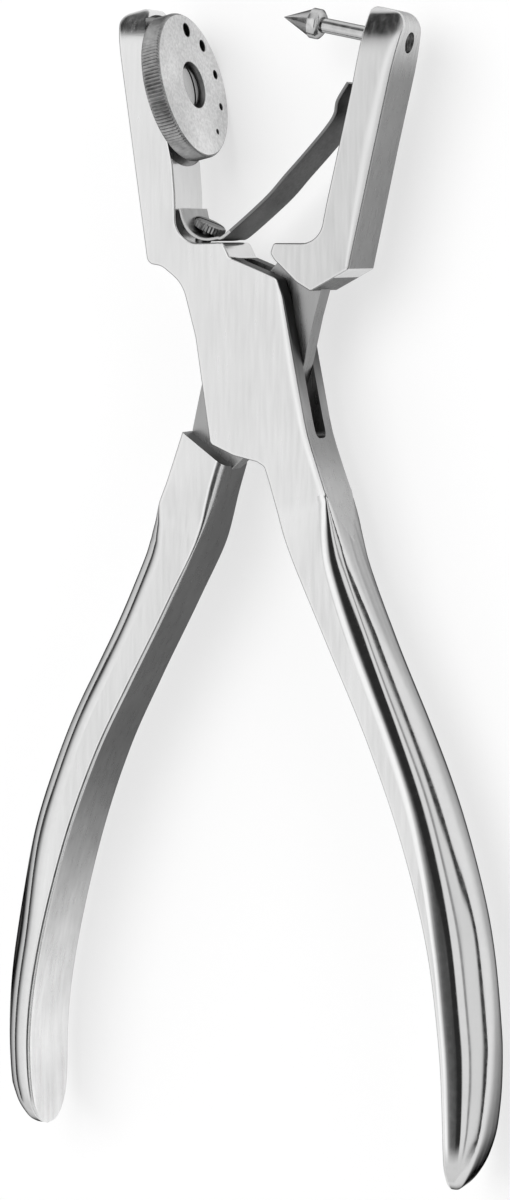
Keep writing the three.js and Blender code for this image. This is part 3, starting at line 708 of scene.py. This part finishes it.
def flat_faces(n_h, layer):
    """Faces across a handle, from inner to outer columns, on its front or back flat."""
    k, last = PROFILE, 2 * n_h - 1
    return [[c * k + layer for c in (i, i + 1, last - 1 - i, last - i)] for i in range(n_h - 1)]


# Wheel side half
def box_edge(x, y, nx):
    """Soft and tight size of the box's edge, which has a broad ridge only on its right side."""
    share = facing_right(nx) * share_of(y, 11.2, 7.7) if x > -3 else 0.0
    return 0.34 + 0.86 * share, 0.2 + 0.05 * share


# the slot that the tongue swings in, open to both sides
SLOT = [(-2.9, 15.5, 0), (-7.4, 7.5, 1), (-20, 6.0, 0), (-20, -17.2, 0), (0.9, -17.2, 0),
        (1.79, -15.48, 1), (6.6, -11.05, 1), (20, -10.1, 0), (20, 20, 0), (-2.9, 20, 0)]
SLOT_HALF = 1.85
# cuts along the wheel's axis, by where they end and their radius
SEAT_END, SEAT_RADIUS = -3.9, 11.1
SCREW_END, SCREW_RADIUS = -7.0, 1.55
BALL_END, BALL_RADIUS = -7.3, 1.2


def wheel_side():
    """Left jaw, box and right handle: one ring of columns, with the cuts made afterwards."""
    shares = handle_shares(0.053)
    inner, outer, grips = handle_sections(RIGHT_INNER, RIGHT_ROWS, 1, shares, RIGHT_BANDS,
                                          RIGHT_EDGE, (1.2, 0.25))
    seam_in, seam_out = inner[0, PROFILE // 2, :2], outer[0, PROFILE // 2, :2]
    outline = arc_corners([
        (-22.13, 49.5, 1.6), (-17.05, 13.95, 1.3), (-14.8, 13.6, 2.6), (-11.5, 11.1, 5.5),
        (-9.4, 3.4, 12.0), (-7.1, -11.9, 0.95), (-3.4, -13.5, 4.0), (0.3, -14.3, 0.6),
        (1.45, -14.95, 1.0), (*seam_in, 0), (*seam_out, 0), (8.25, -10.3, 30.0), (6.2, 0.0, 30.0),
        (4.4, 9.4, 1.2), (3.5, 11.9, 1.0), (0.9, 13.0, 2.0), (-3.9, 14.85, 0.7),
        (-5.0, 17.0, 0.95), (-12.5, 16.8, 3.9), (-12.6, 24.0, 6.0), (-12.95, 28.3, 4.0),
        (-17.6, JAW_TOP, 0.95)])
    # the seam's two points split the ring, and the handle is put between them
    i_in = int(np.linalg.norm(outline - seam_in, axis=1).argmin())
    i_out = int(np.linalg.norm(outline - seam_out, axis=1).argmin())
    normals = inward_normals(outline)
    n_h = len(shares)
    columns = [*inner, *outer[::-1]]
    kinds = ["in"] * n_h + ["out"] * n_h
    for i in [*range(i_out + 1, len(outline)), *range(i_in)]:
        rows = edge_profile(HALF, *box_edge(*outline[i], -normals[i][0]))
        columns.append(np.array([(*(outline[i] + normals[i] * d), z) for d, z in rows]))
        kinds.append("box")
    faces, mats = ring_faces(kinds, grips, closed=True)
    for layer in (PROFILE - 1, 0):
        faces += flat_faces(n_h, layer)
        faces.append([i * PROFILE + layer for i in (0, *range(2 * n_h - 1, len(columns)))])
        mats += [FRONT] * n_h
    bm = mesh_from([tuple(p) for column in columns for p in column], faces, mats)
    for f in bm.faces:
        x, y, _ = f.calc_center_median()
        if f.material_index != SIDE:
            continue
        # the crook and the jaw's inner side keep the light front steel, without the side's painted
        # shade
        if y > 12.2 and x < -2 and (f.normal.x > 0.1 or f.normal.y > 0.3):
            f.material_index = FRONT  # the crook and the jaw's inner side
        # painted shade: the box's right side about the slot's mouth takes the mouth's dark steel
        elif -9 < y < 15 and x > -4 and f.normal.x > 0.3:
            f.material_index = MOUTH_WALL
    bend_crown(bm, JAW_TOP, JAW_CROWN)
    slot = plate(SLOT, SLOT_HALF, lambda x, y: (0.6, 1.1))
    seat = place(rod(SEAT_END, OUT, SEAT_RADIUS, 160), ON_WHEEL)
    screw_hole = place(rod(SCREW_END, OUT, SCREW_RADIUS, 40), ON_WHEEL)
    ball_hole = place(rod(BALL_END, OUT, BALL_RADIUS, 32),
                      Matrix.Translation((0, -HOLE_RING, 0)))
    place(ball_hole, ON_WHEEL)
    pin = upright(rod(-FAR, HALF - 0.1, PIN_BORE, 64))
    return boolean(bm, [tinted(slot, SIDE), tinted(seat, SIDE), tinted(screw_hole, HOLE),
                        tinted(ball_hole, HOLE), tinted(pin, HOLE)])


half_a = new_object("wheel_side_forging", wheel_side(),
                    [SATIN, BOX_SIDE_SHADE, POLISH, DARK_STEEL_AND_SHADE, INNER_SHADE, MOUTH_SHADE])
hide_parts("wheel_side_half")
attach(half_a, "wheel_side")


# Punch side half
LEFT_START = [(8.2, -24.66, 0), (-25.3, -0.29, 0)]  # two points of the line it starts at


def left_handle():
    """The handle on the tongue's side, cut off along a slanting line at its upper end."""
    shares = handle_shares(0.0)
    inner, outer, grips = handle_sections(LEFT_INNER, LEFT_ROWS, -1, shares, LEFT_BANDS,
                                          LEFT_EDGE, (0.5, 0.2))
    n_h, k = len(shares), PROFILE
    columns = [*inner, *outer[::-1]]
    faces, mats = ring_faces(["in"] * n_h + ["out"] * n_h, grips, closed=False)
    for layer in (0, k - 1):
        faces += flat_faces(n_h, layer)
        mats += [FRONT] * (n_h - 1)
    faces.append([*range(k), *range(2 * n_h * k - 1, (2 * n_h - 1) * k - 1, -1)])
    mats.append(SIDE)
    bm = mesh_from([tuple(p) for column in columns for p in column], faces, mats)
    low, high = [Vector(point) for point in LEFT_START]
    across = (low - high).normalized()
    up = Vector((-across.y, across.x, 0))
    cut = bmesh.ops.bisect_plane(bm, geom=[*bm.verts, *bm.edges, *bm.faces], dist=1e-5,
                                 plane_co=low, plane_no=up, clear_outer=True)
    edges = [e for e in cut["geom_cut"] if isinstance(e, bmesh.types.BMEdge)]
    bmesh.ops.contextual_create(bm, geom=edges)
    bmesh.ops.recalc_face_normals(bm, faces=bm.faces)
    # painted shade: the large face of the slanting cut, inside the joint, takes the mouth's dark steel
    for f in bm.faces:
        if f.normal.dot(up) > 0.999 and len(f.verts) > 8:
            f.material_index = MOUTH_WALL
    return bm


ARM = [(16.7, ARM_TOP, 0.7), (15.3, 40.5, 60.0), (11.0, 22.2, 12.0), (9.9, 16.85, 3.7),
       (2.9, 16.9, 0.55), (2.4, 15.5, 0.5), (3.0, 14.55, 0.6), (6.4, 11.4, 3.0),
       (8.65, 10.1, 0.55), (12.3, 12.034, 0), (14.5, 13.2, 0.55), (18.3, 30.0, 200.0),
       (22.65, 48.7, 2.3)]
TONGUE = [(4.0, 16.0, 0), (-1.3, 10.5, 12), (-6.3, 4.5, 12), (-9.8, -3.3, 9), (-11.3, -10.0, 4),
          (-11.8, -13.5, 0), (-8.0, -19.0, 0), (-5.3, -15.9, 0), (-1.5, -12.5, 8),
          (4.4, -6.0, 9), (6.5, 0.0, 9), (8.0, 6.5, 5), (9.6, 12.0, 0)]
TONGUE_HALF = 1.6
ARM_FOOT, ARM_LEAN = (14.5, 13.2), 0.229  # the lower end of the arm's outer side, and its lean
SHANK_BORE, LOCK_BORE = 1.07, 1.5
LOCK_START = 17.55  # along the punch, where the set screw's wider hole starts


def arm_edge(x, y):
    """Soft and tight size of the arm's edge, which has a broad ridge along its outer side."""
    off = abs(x - (ARM_FOOT[0] + ARM_LEAN * (y - ARM_FOOT[1])))
    share = share_of(off, 1.2, 0) * share_of(y, 13, 16)
    share *= 1 - 0.35 * share_of(y, 38, 46)
    return 0.3 + 1.9 * share, 0.2 + 0.08 * share


def punch_side():
    """Right arm, tongue and left handle in one."""
    body = plate(ARM, HALF, arm_edge, flat_mat=ARM_FLAT)
    for f in body.faces:
        x, y, _ = f.calc_center_median()
        # painted highlight: the right part of the arm's lower face takes the light front steel instead
        # of the side's dark one
        if f.normal.y < -0.5 and x > 12.4 and y < 14:
            f.material_index = FRONT  # the bright facet at the arm's lower corner
    bend_crown(body, ARM_TOP, CROWN)
    # painted shade: the tongue's faces all take the arm side's dark steel
    tongue = plate(TONGUE, TONGUE_HALF, lambda x, y: (0.1, 0.06), flat_mat=SIDE)
    bm = boolean(body, [tongue, left_handle()], "UNION")
    pin = upright(rod(-FAR, FAR, PIN_BORE, 64))
    shank = place(rod(5.0, LOCK_START + 0.05, SHANK_BORE, 40), ON_PUNCH)
    lock = place(rod(LOCK_START, 25, LOCK_BORE, 48), ON_PUNCH)
    return boolean(bm, [tinted(pin, HOLE), tinted(shank, HOLE), tinted(lock, FRONT)])


half_b = new_object("punch_side_forging", punch_side(),
                    [SATIN, ARM_SIDE_SHADE, POLISH, DARK_STEEL_AND_SHADE, INNER_SHADE, MOUTH_SHADE, ARM_FRONT_SHADED])
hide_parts("punch_side_half")
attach(half_b, "punch_side")

# Pivot pin
pin_rows = [(-HALF, 0), (-HALF, 2.40), (-HALF + 0.1, 2.505), (HALF - 0.2, 2.505),
            (HALF - 0.13, 2.45), (HALF - 0.13, 0)]
pin_obj = new_object("pivot_pin_fine", upright(turned(pin_rows, 96)), [SATIN])
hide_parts("pivot_pin")
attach(pin_obj, "wheel_side")

# Die wheel and its screw
TEETH = 126
STEPS_PER_TOOTH = 6
RIM = 10.65  # the wheel's radius
WHEEL_BACK, WHEEL_BORE = -3.0, 2.35
TOOTH_DEPTH = 0.24
HUB, HUB_FLOOR = 3.4, -1.5  # the recess that the screw's head sits in
TRACK_INNER, TRACK_OUTER, TRACK_FLOOR = 7.1, 9.0, -2.55  # the ball's track
HOLE_SIZES = [2.0, 1.7, 1.3, 1.0, 0.75]
HOLE_TURN = 9  # degrees from the punch's line to the largest hole
HOLE_STEP = 34  # degrees from one hole to the next
WHEEL_FACE, WHEEL_RIM, WHEEL_HOLE, WHEEL_HUB = range(4)  # its material slots


def toothed(radius, a):
    """The rim's radius at an angle: full at the inner end of its edge, toothed outside."""
    if radius < RIM - 0.25:
        return radius
    dip = 0.5 - 0.5 * math.cos(TEETH * a)
    return radius - TOOTH_DEPTH * dip * share_of(radius, RIM - 0.25, RIM - 0.05)


def die_wheel():
    """The wheel, its holes in one arc and the ball's track in its back."""
    rows = [(WHEEL_BACK, WHEEL_BORE), (WHEEL_BACK, RIM - 0.5), (-2.95, RIM - 0.3),
            (-2.8, RIM - 0.12), (-2.6, RIM), (-1.5, RIM), (-0.42, RIM), (-0.3, RIM - 0.06),
            (-0.22, RIM - 0.14), (-0.16, RIM - 0.2), (-0.05, RIM - 0.26), (0.0, RIM - 0.36),
            (0.0, HUB + 0.06), (-0.06, HUB), (HUB_FLOOR, HUB), (HUB_FLOOR, WHEEL_BORE)]
    bm = turned(rows, TEETH * STEPS_PER_TOOTH, toothed)
    for f in bm.faces:
        c = f.calc_center_median()
        radius = math.hypot(c.y, c.z)
        if abs(f.normal.x) > 0.9 and HUB < radius < RIM - 0.3:
            f.material_index = WHEEL_FACE
        else:
            f.material_index = WHEEL_RIM if radius > 9.9 else WHEEL_HUB
    below = 2 * WHEEL_BACK
    cuts = []
    for i, size in enumerate(HOLE_SIZES):
        r = size / 2
        # it widens from just under the face, which breaks its edge
        bore = [(below, 0), (below, r), (-0.07, r), (0.03, r + 0.1), (2.03, r + 2.1), (2.03, 0)]
        hole = turned(bore, 48)
        place(hole, Matrix.Translation((0, HOLE_RING, 0)))
        place(hole, Matrix.Rotation(math.radians(-(HOLE_TURN + i * HOLE_STEP)), 4, "X"))
        cuts.append(tinted(hole, WHEEL_HOLE))
    track = turned([(below, TRACK_INNER), (below, TRACK_OUTER), (TRACK_FLOOR, TRACK_OUTER),
                    (TRACK_FLOOR, TRACK_INNER)], 160)
    cuts.append(tinted(track, WHEEL_HOLE))
    return place(boolean(bm, cuts), ON_WHEEL)


wheel_obj = new_object("die_wheel_fine", die_wheel(), [BLAST, RIM_STEEL, DARK_STEEL_AND_SHADE, KNURL], sharp=24)
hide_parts("die_wheel")
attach(wheel_obj, "wheel")


def slotted_screw(rows, top, slot_width, slot_depth, turn, segments=96, wobble=None):
    """A turned screw with a slot across its head. Materials: the screw, its slot."""
    bm = turned(rows, segments, wobble)
    slot = bmesh.new()
    bmesh.ops.create_cube(slot, size=1.0)
    bmesh.ops.scale(slot, vec=(2 * slot_depth, 20, slot_width), verts=slot.verts)
    bmesh.ops.translate(slot, vec=(top, 0, 0), verts=slot.verts)
    bmesh.ops.rotate(slot, matrix=Matrix.Rotation(math.radians(turn), 3, "X"), verts=slot.verts)
    return boolean(bm, [tinted(slot, 1)])


def dome(base, top, radius, steps=14):
    """(along, radius) rows of a quarter ellipse, from its rim to its top."""
    turn = [math.pi / 2 * k / steps for k in range(steps)]
    return [*((base + (top - base) * math.sin(a), radius * math.cos(a)) for a in turn), (top, 0.0)]


screw_rows = [(-6.55, 0), (-6.55, 1.2), (-6.3, 1.4), (-3.65, 1.4), (-3.65, 2.1), (-1.25, 2.1),
              (-1.25, 3.05), (-1.2, 3.1), *dome(-1.1, -0.1, 3.1)]
screw = slotted_screw(screw_rows, -0.1, 0.5, 0.62, 4)
screw_obj = new_object("wheel_screw_fine", place(screw, ON_WHEEL), [BRIGHT, DARK_STEEL_AND_SHADE])
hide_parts("wheel_screw")
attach(screw_obj, "wheel_side")

# Punch
point_rows = [(0.0, 0.0), (0.02, 0.04), (0.07, 0.07), (4.28, 1.93), (4.36, 1.99), (4.4, 2.0),
              (4.44, 2.09), (4.52, 2.14), (5.62, 2.14), (5.7, 2.11), (6.12, 1.66), (6.16, 1.58),
              (6.16, 1.1), (4.9, 1.1), (4.9, 0.0)]
point_obj = new_object("punch_point_fine", place(turned(point_rows, 96), ON_PUNCH), [PUNCH])
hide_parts("punch_point")
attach(point_obj, "punch_side")
shank = rod(5.1, 17.2, 1.05, 64)
shank_obj = new_object("punch_shank_fine", place(shank, ON_PUNCH), [PUNCH])
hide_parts("punch_shank")
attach(shank_obj, "punch_side")
lock_rows = [(17.66, 0), (17.66, 1.3), (17.8, 1.42), (18.9, 1.42), (19.12, 1.15), (19.12, 0)]
lock = slotted_screw(lock_rows, 19.12, 0.4, 0.3, 30)
lock_obj = new_object("shank_lock_screw_fine", place(lock, ON_PUNCH), [DARK_STEEL_AND_SHADE, DARK_STEEL_AND_SHADE])
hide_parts("shank_lock_screw")
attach(lock_obj, "punch_side")

# Leaf spring and its screw
LEAF_PATH = [(-11.94, 21.8), (-11.5, 20.2), (-10.65, 18.7), (-9.3, 17.76), (-7.73, 17.42),
             (-6.14, 17.62), (-4.7, 18.1), (1.42, 23.09), (4.69, 26.46), (7.93, 29.79),
             (10.95, 33.1), (12.2, 34.95), (12.62, 36.8), (14.2, 39.25)]
LEAF_SECTIONS = 120
LEAF_HALF_THICK, LEAF_HALF_WIDE, LEAF_ROUND = 0.25, 4.4, 0.2
HOOK_END_X, HOOK_X = -10.4, -4.2  # left of these the hook's end and the hook begin
LEAF_BROAD, LEAF_HOOK_EDGE, LEAF_HOOK_END, LEAF_FREE_EDGE = range(4)  # its material slots


def leaf_mat(x, broad):
    """Material slot of the leaf's broad or narrow side at an x; the slots carry the leaf's painted
    light and shade.
    """
    if broad:
        return LEAF_HOOK_END if x < HOOK_END_X else LEAF_BROAD
    return LEAF_HOOK_EDGE if x < HOOK_X else LEAF_FREE_EDGE


def leaf_spring():
    """The leaf as one strip with rounded edges and a hole for its screw."""
    at, along = spline(LEAF_PATH, np.linspace(0, 1, LEAF_SECTIONS))
    across = np.stack([-along[:, 1], along[:, 0]], 1)
    section = []
    for sx, sy, quarter in ((1, 1, 0), (-1, 1, 90), (-1, -1, 180), (1, -1, 270)):
        for k in range(4):
            a = math.radians(quarter + 30 * k)
            section.append((sx * (LEAF_HALF_THICK - LEAF_ROUND) + LEAF_ROUND * math.cos(a),
                            sy * (LEAF_HALF_WIDE - LEAF_ROUND) + LEAF_ROUND * math.sin(a)))
    k = len(section)
    verts = [(*(at[i] + across[i] * u), z) for i in range(LEAF_SECTIONS) for u, z in section]
    faces, mats = [], []
    for i in range(LEAF_SECTIONS - 1):
        for m in range(k):
            j = (m + 1) % k
            faces.append([i * k + m, i * k + j, (i + 1) * k + j, (i + 1) * k + m])
            mats.append(leaf_mat(at[i][0], abs(section[m][0] - section[j][0]) < 1e-6))
    last = (LEAF_SECTIONS - 1) * k
    faces += [list(range(k)), [last + m for m in range(k)]]
    mats += [LEAF_HOOK_EDGE, LEAF_HOOK_EDGE]
    hole = place(rod(-OUT, OUT, 1.3, 32), ON_LEAF_SCREW)
    return boolean(mesh_from(verts, faces, mats), [tinted(hole, LEAF_HOOK_EDGE)])


leaf_obj = new_object("leaf_spring_fine", leaf_spring(), [LEAF_SHADE, LEAF_EDGE_HIGHLIGHT, LEAF_ROOT_PAINTED_LIGHT, LEAF_LINE_SHADE])
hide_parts("return_spring")
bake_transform(leaf_obj)

KNURLS = 30
KNURL_DEPTH = 0.13


def knurled(radius, a):
    """The spring screw's radius at an angle: its head is knurled, its stem plain."""
    if radius <= 1.95:
        return radius
    return radius - KNURL_DEPTH * (0.5 - 0.5 * math.cos(KNURLS * a))


head_rows = [(-4.2, 0), (-4.2, 0.9), (-4.0, 1.1), (1.2, 1.1), (1.2, 2.3), (1.3, 2.45), (2.15, 2.45),
             (2.32, 2.35), (2.46, 2.1), (2.52, 1.7), (2.56, 0.9), (2.56, 0)]
spring_screw = slotted_screw(head_rows, 2.55, 0.6, 0.6, 35, 216, knurled)
spring_screw_obj = new_object("spring_screw_fine", place(spring_screw, ON_LEAF_SCREW), [KNURL, DARK_STEEL_AND_SHADE])
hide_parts("spring_screw")
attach(spring_screw_obj, "wheel_side")

# Camera
scene = bpy.context.scene
AIM = Vector((-2.0634, -34.7274, MID)) * MM  # what the middle of the picture shows
YAW, PITCH = math.radians(24.5), math.radians(6)  # to the tool's right and above its middle
DISTANCE, LENS = 0.5, 103.164
back = Vector((math.sin(YAW) * math.cos(PITCH), math.sin(PITCH), math.cos(YAW) * math.cos(PITCH)))
right = Vector((math.cos(YAW), 0, -math.sin(YAW)))
cam_data = bpy.data.cameras.new("camera")
cam_data.sensor_fit = "VERTICAL"
cam_data.sensor_height = 36
cam_data.lens = LENS
cam = bpy.data.objects.new("camera", cam_data)
scene.collection.objects.link(cam)
axes = Matrix((right, back.cross(right), back)).transposed().to_4x4()
cam.matrix_world = Matrix.Translation(AIM + back * DISTANCE) @ axes
scene.camera = cam
scene.view_settings.view_transform = "Standard"

# Floor
FLOOR_RADIUS = 15000
FLOOR_LEVEL = -5.8
FLOOR_GLOW = 0.6  # how much of what the camera and the metal see of it is plain white


def floor_material():
    """A pale matt floor that keeps the shadow but is seen nearly white."""
    m, nt, bsdf = node_material("floor_white")
    bsdf.inputs["Base Color"].default_value = (0.93, 0.93, 0.93, 1)
    bsdf.inputs["Roughness"].default_value = 0.9
    bsdf.inputs["Specular IOR Level"].default_value = 0.0
    path = nt.nodes.new("ShaderNodeLightPath")
    seen = path.outputs["Is Camera Ray"]
    for kind in ("Is Glossy Ray", "Is Transmission Ray"):
        seen = math_node(nt, "MAXIMUM", seen, path.outputs[kind])
    white = nt.nodes.new("ShaderNodeEmission")
    white.inputs["Color"].default_value = (1, 1, 1, 1)
    mix = nt.nodes.new("ShaderNodeMixShader")
    nt.links.new(map_range(nt, seen, 0, 1, 0, FLOOR_GLOW).outputs["Result"], mix.inputs["Fac"])
    nt.links.new(bsdf.outputs["BSDF"], mix.inputs[1])
    nt.links.new(white.outputs["Emission"], mix.inputs[2])
    out = next(n for n in nt.nodes if n.bl_idname == "ShaderNodeOutputMaterial")
    nt.links.new(mix.outputs["Shader"], out.inputs["Surface"])
    return m


floor_bm = bmesh.new()
bmesh.ops.create_circle(floor_bm, cap_ends=True, segments=96, radius=FLOOR_RADIUS)
floor = new_object("floor", floor_bm, [floor_material()])
floor.location.z = (FLOOR_LEVEL - MID) * MM

# Studio: (degrees round the tool's length, level) of the panels that the metal mirrors
PANELS = [(-90, 0.04), (-81, 0.06), (-71, 0.5), (-59, 0.95), (-40, 1.1), (-29, 1.1),
          (-24, 0.94), (-19, 0.84), (-12, 1.3), (-3, 1.3), (4, 0.7), (11, 0.12), (17, 0.03),
          (42, 0.03), (48, 0.95), (61, 0.95), (64, 0.35), (68, 0.35), (71, 0.9), (79, 0.9),
          (83, 0.05), (90, 0.05)]
# how much a plain level takes over towards both ends of the tool
PLAIN_LEVEL = 0.85
PLAIN_Y = [(-1, 1), (-0.68, 1), (-0.5, 0), (0.48, 0), (0.66, 1), (1, 1)]
# one dark flag above the jaws, where all three shares are 1
FLAG_LEVEL = 0.02
FLAG_X = [(-1, 0), (-0.72, 0), (-0.6, 1), (-0.22, 1), (-0.12, 0), (1, 0)]
FLAG_Y = [(-1, 0), (0.42, 0), (0.6, 1), (0.93, 1), (0.985, 0), (1, 0)]
FLAG_Z = [(-1, 0), (0.2, 0), (0.32, 1), (1, 1)]


def levels(nt, source, stops):
    """A colour ramp through (place, level) stops, over another node's value."""
    low, high = stops[0][0], stops[-1][0]
    ramp = nt.nodes.new("ShaderNodeValToRGB")
    nt.links.new(map_range(nt, source, low, high).outputs["Result"], ramp.inputs["Fac"])
    elements = ramp.color_ramp.elements
    while len(elements) < len(stops):
        elements.new(1.0)
    for element, (at, level) in zip(elements, stops):
        element.position = (at - low) / (high - low)
        element.color = (level, level, level, 1)
    return ramp.outputs["Color"]


def studio_world():
    """Panels round the tool, a plain level towards its ends and one dark flag."""
    world = bpy.data.worlds.new("studio")
    world.use_nodes = True
    nt = world.node_tree
    nt.nodes.clear()
    out = nt.nodes.new("ShaderNodeOutputWorld")
    background = nt.nodes.new("ShaderNodeBackground")
    background.inputs["Strength"].default_value = 1.0
    nt.links.new(background.outputs["Background"], out.inputs["Surface"])
    coord = nt.nodes.new("ShaderNodeTexCoord")
    split = nt.nodes.new("ShaderNodeSeparateXYZ")
    nt.links.new(coord.outputs["Generated"], split.inputs["Vector"])
    x, y, z = [split.outputs[axis] for axis in "XYZ"]
    stops = [(math.radians(at), level) for at, level in PANELS]
    mix = nt.nodes.new("ShaderNodeMix")
    mix.data_type = "RGBA"
    nt.links.new(levels(nt, y, PLAIN_Y), mix.inputs["Factor"])
    panels, plain = [i for i in mix.inputs if i.type == "RGBA"]
    nt.links.new(levels(nt, math_node(nt, "ARCTAN2", x, z), stops), panels)
    plain.default_value = (PLAIN_LEVEL, PLAIN_LEVEL, PLAIN_LEVEL, 1)
    light = next(o for o in mix.outputs if o.type == "RGBA")
    flag = math_node(nt, "MULTIPLY", levels(nt, x, FLAG_X), levels(nt, y, FLAG_Y))
    flag = math_node(nt, "MULTIPLY", flag, levels(nt, z, FLAG_Z))
    left = map_range(nt, flag, 0, 1, 1.0, FLAG_LEVEL).outputs["Result"]
    nt.links.new(scaled(nt, light, left), background.inputs["Color"])
    return world


scene.world = studio_world()

# Lamp, soft and out of the reflections
KEY_AT = Vector((-0.35, 0.5, 1.5))
key = bpy.data.lights.new("key", "AREA")
key.shape = "DISK"
key.size = 1.2
key.energy = 14.0
key_obj = bpy.data.objects.new("key", key)
key_obj.location = KEY_AT
key_obj.rotation_euler = KEY_AT.to_track_quat("Z", "Y").to_euler()
key_obj.visible_glossy = False
scene.collection.objects.link(key_obj)

# The inner pieces keep their own solids
for name, finish in (("wheel_washer", KNURL), ("index_ball", BRIGHT), ("index_spring", KNURL)):
    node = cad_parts[name]
    node.data.materials.clear()
    node.data.materials.append(finish)
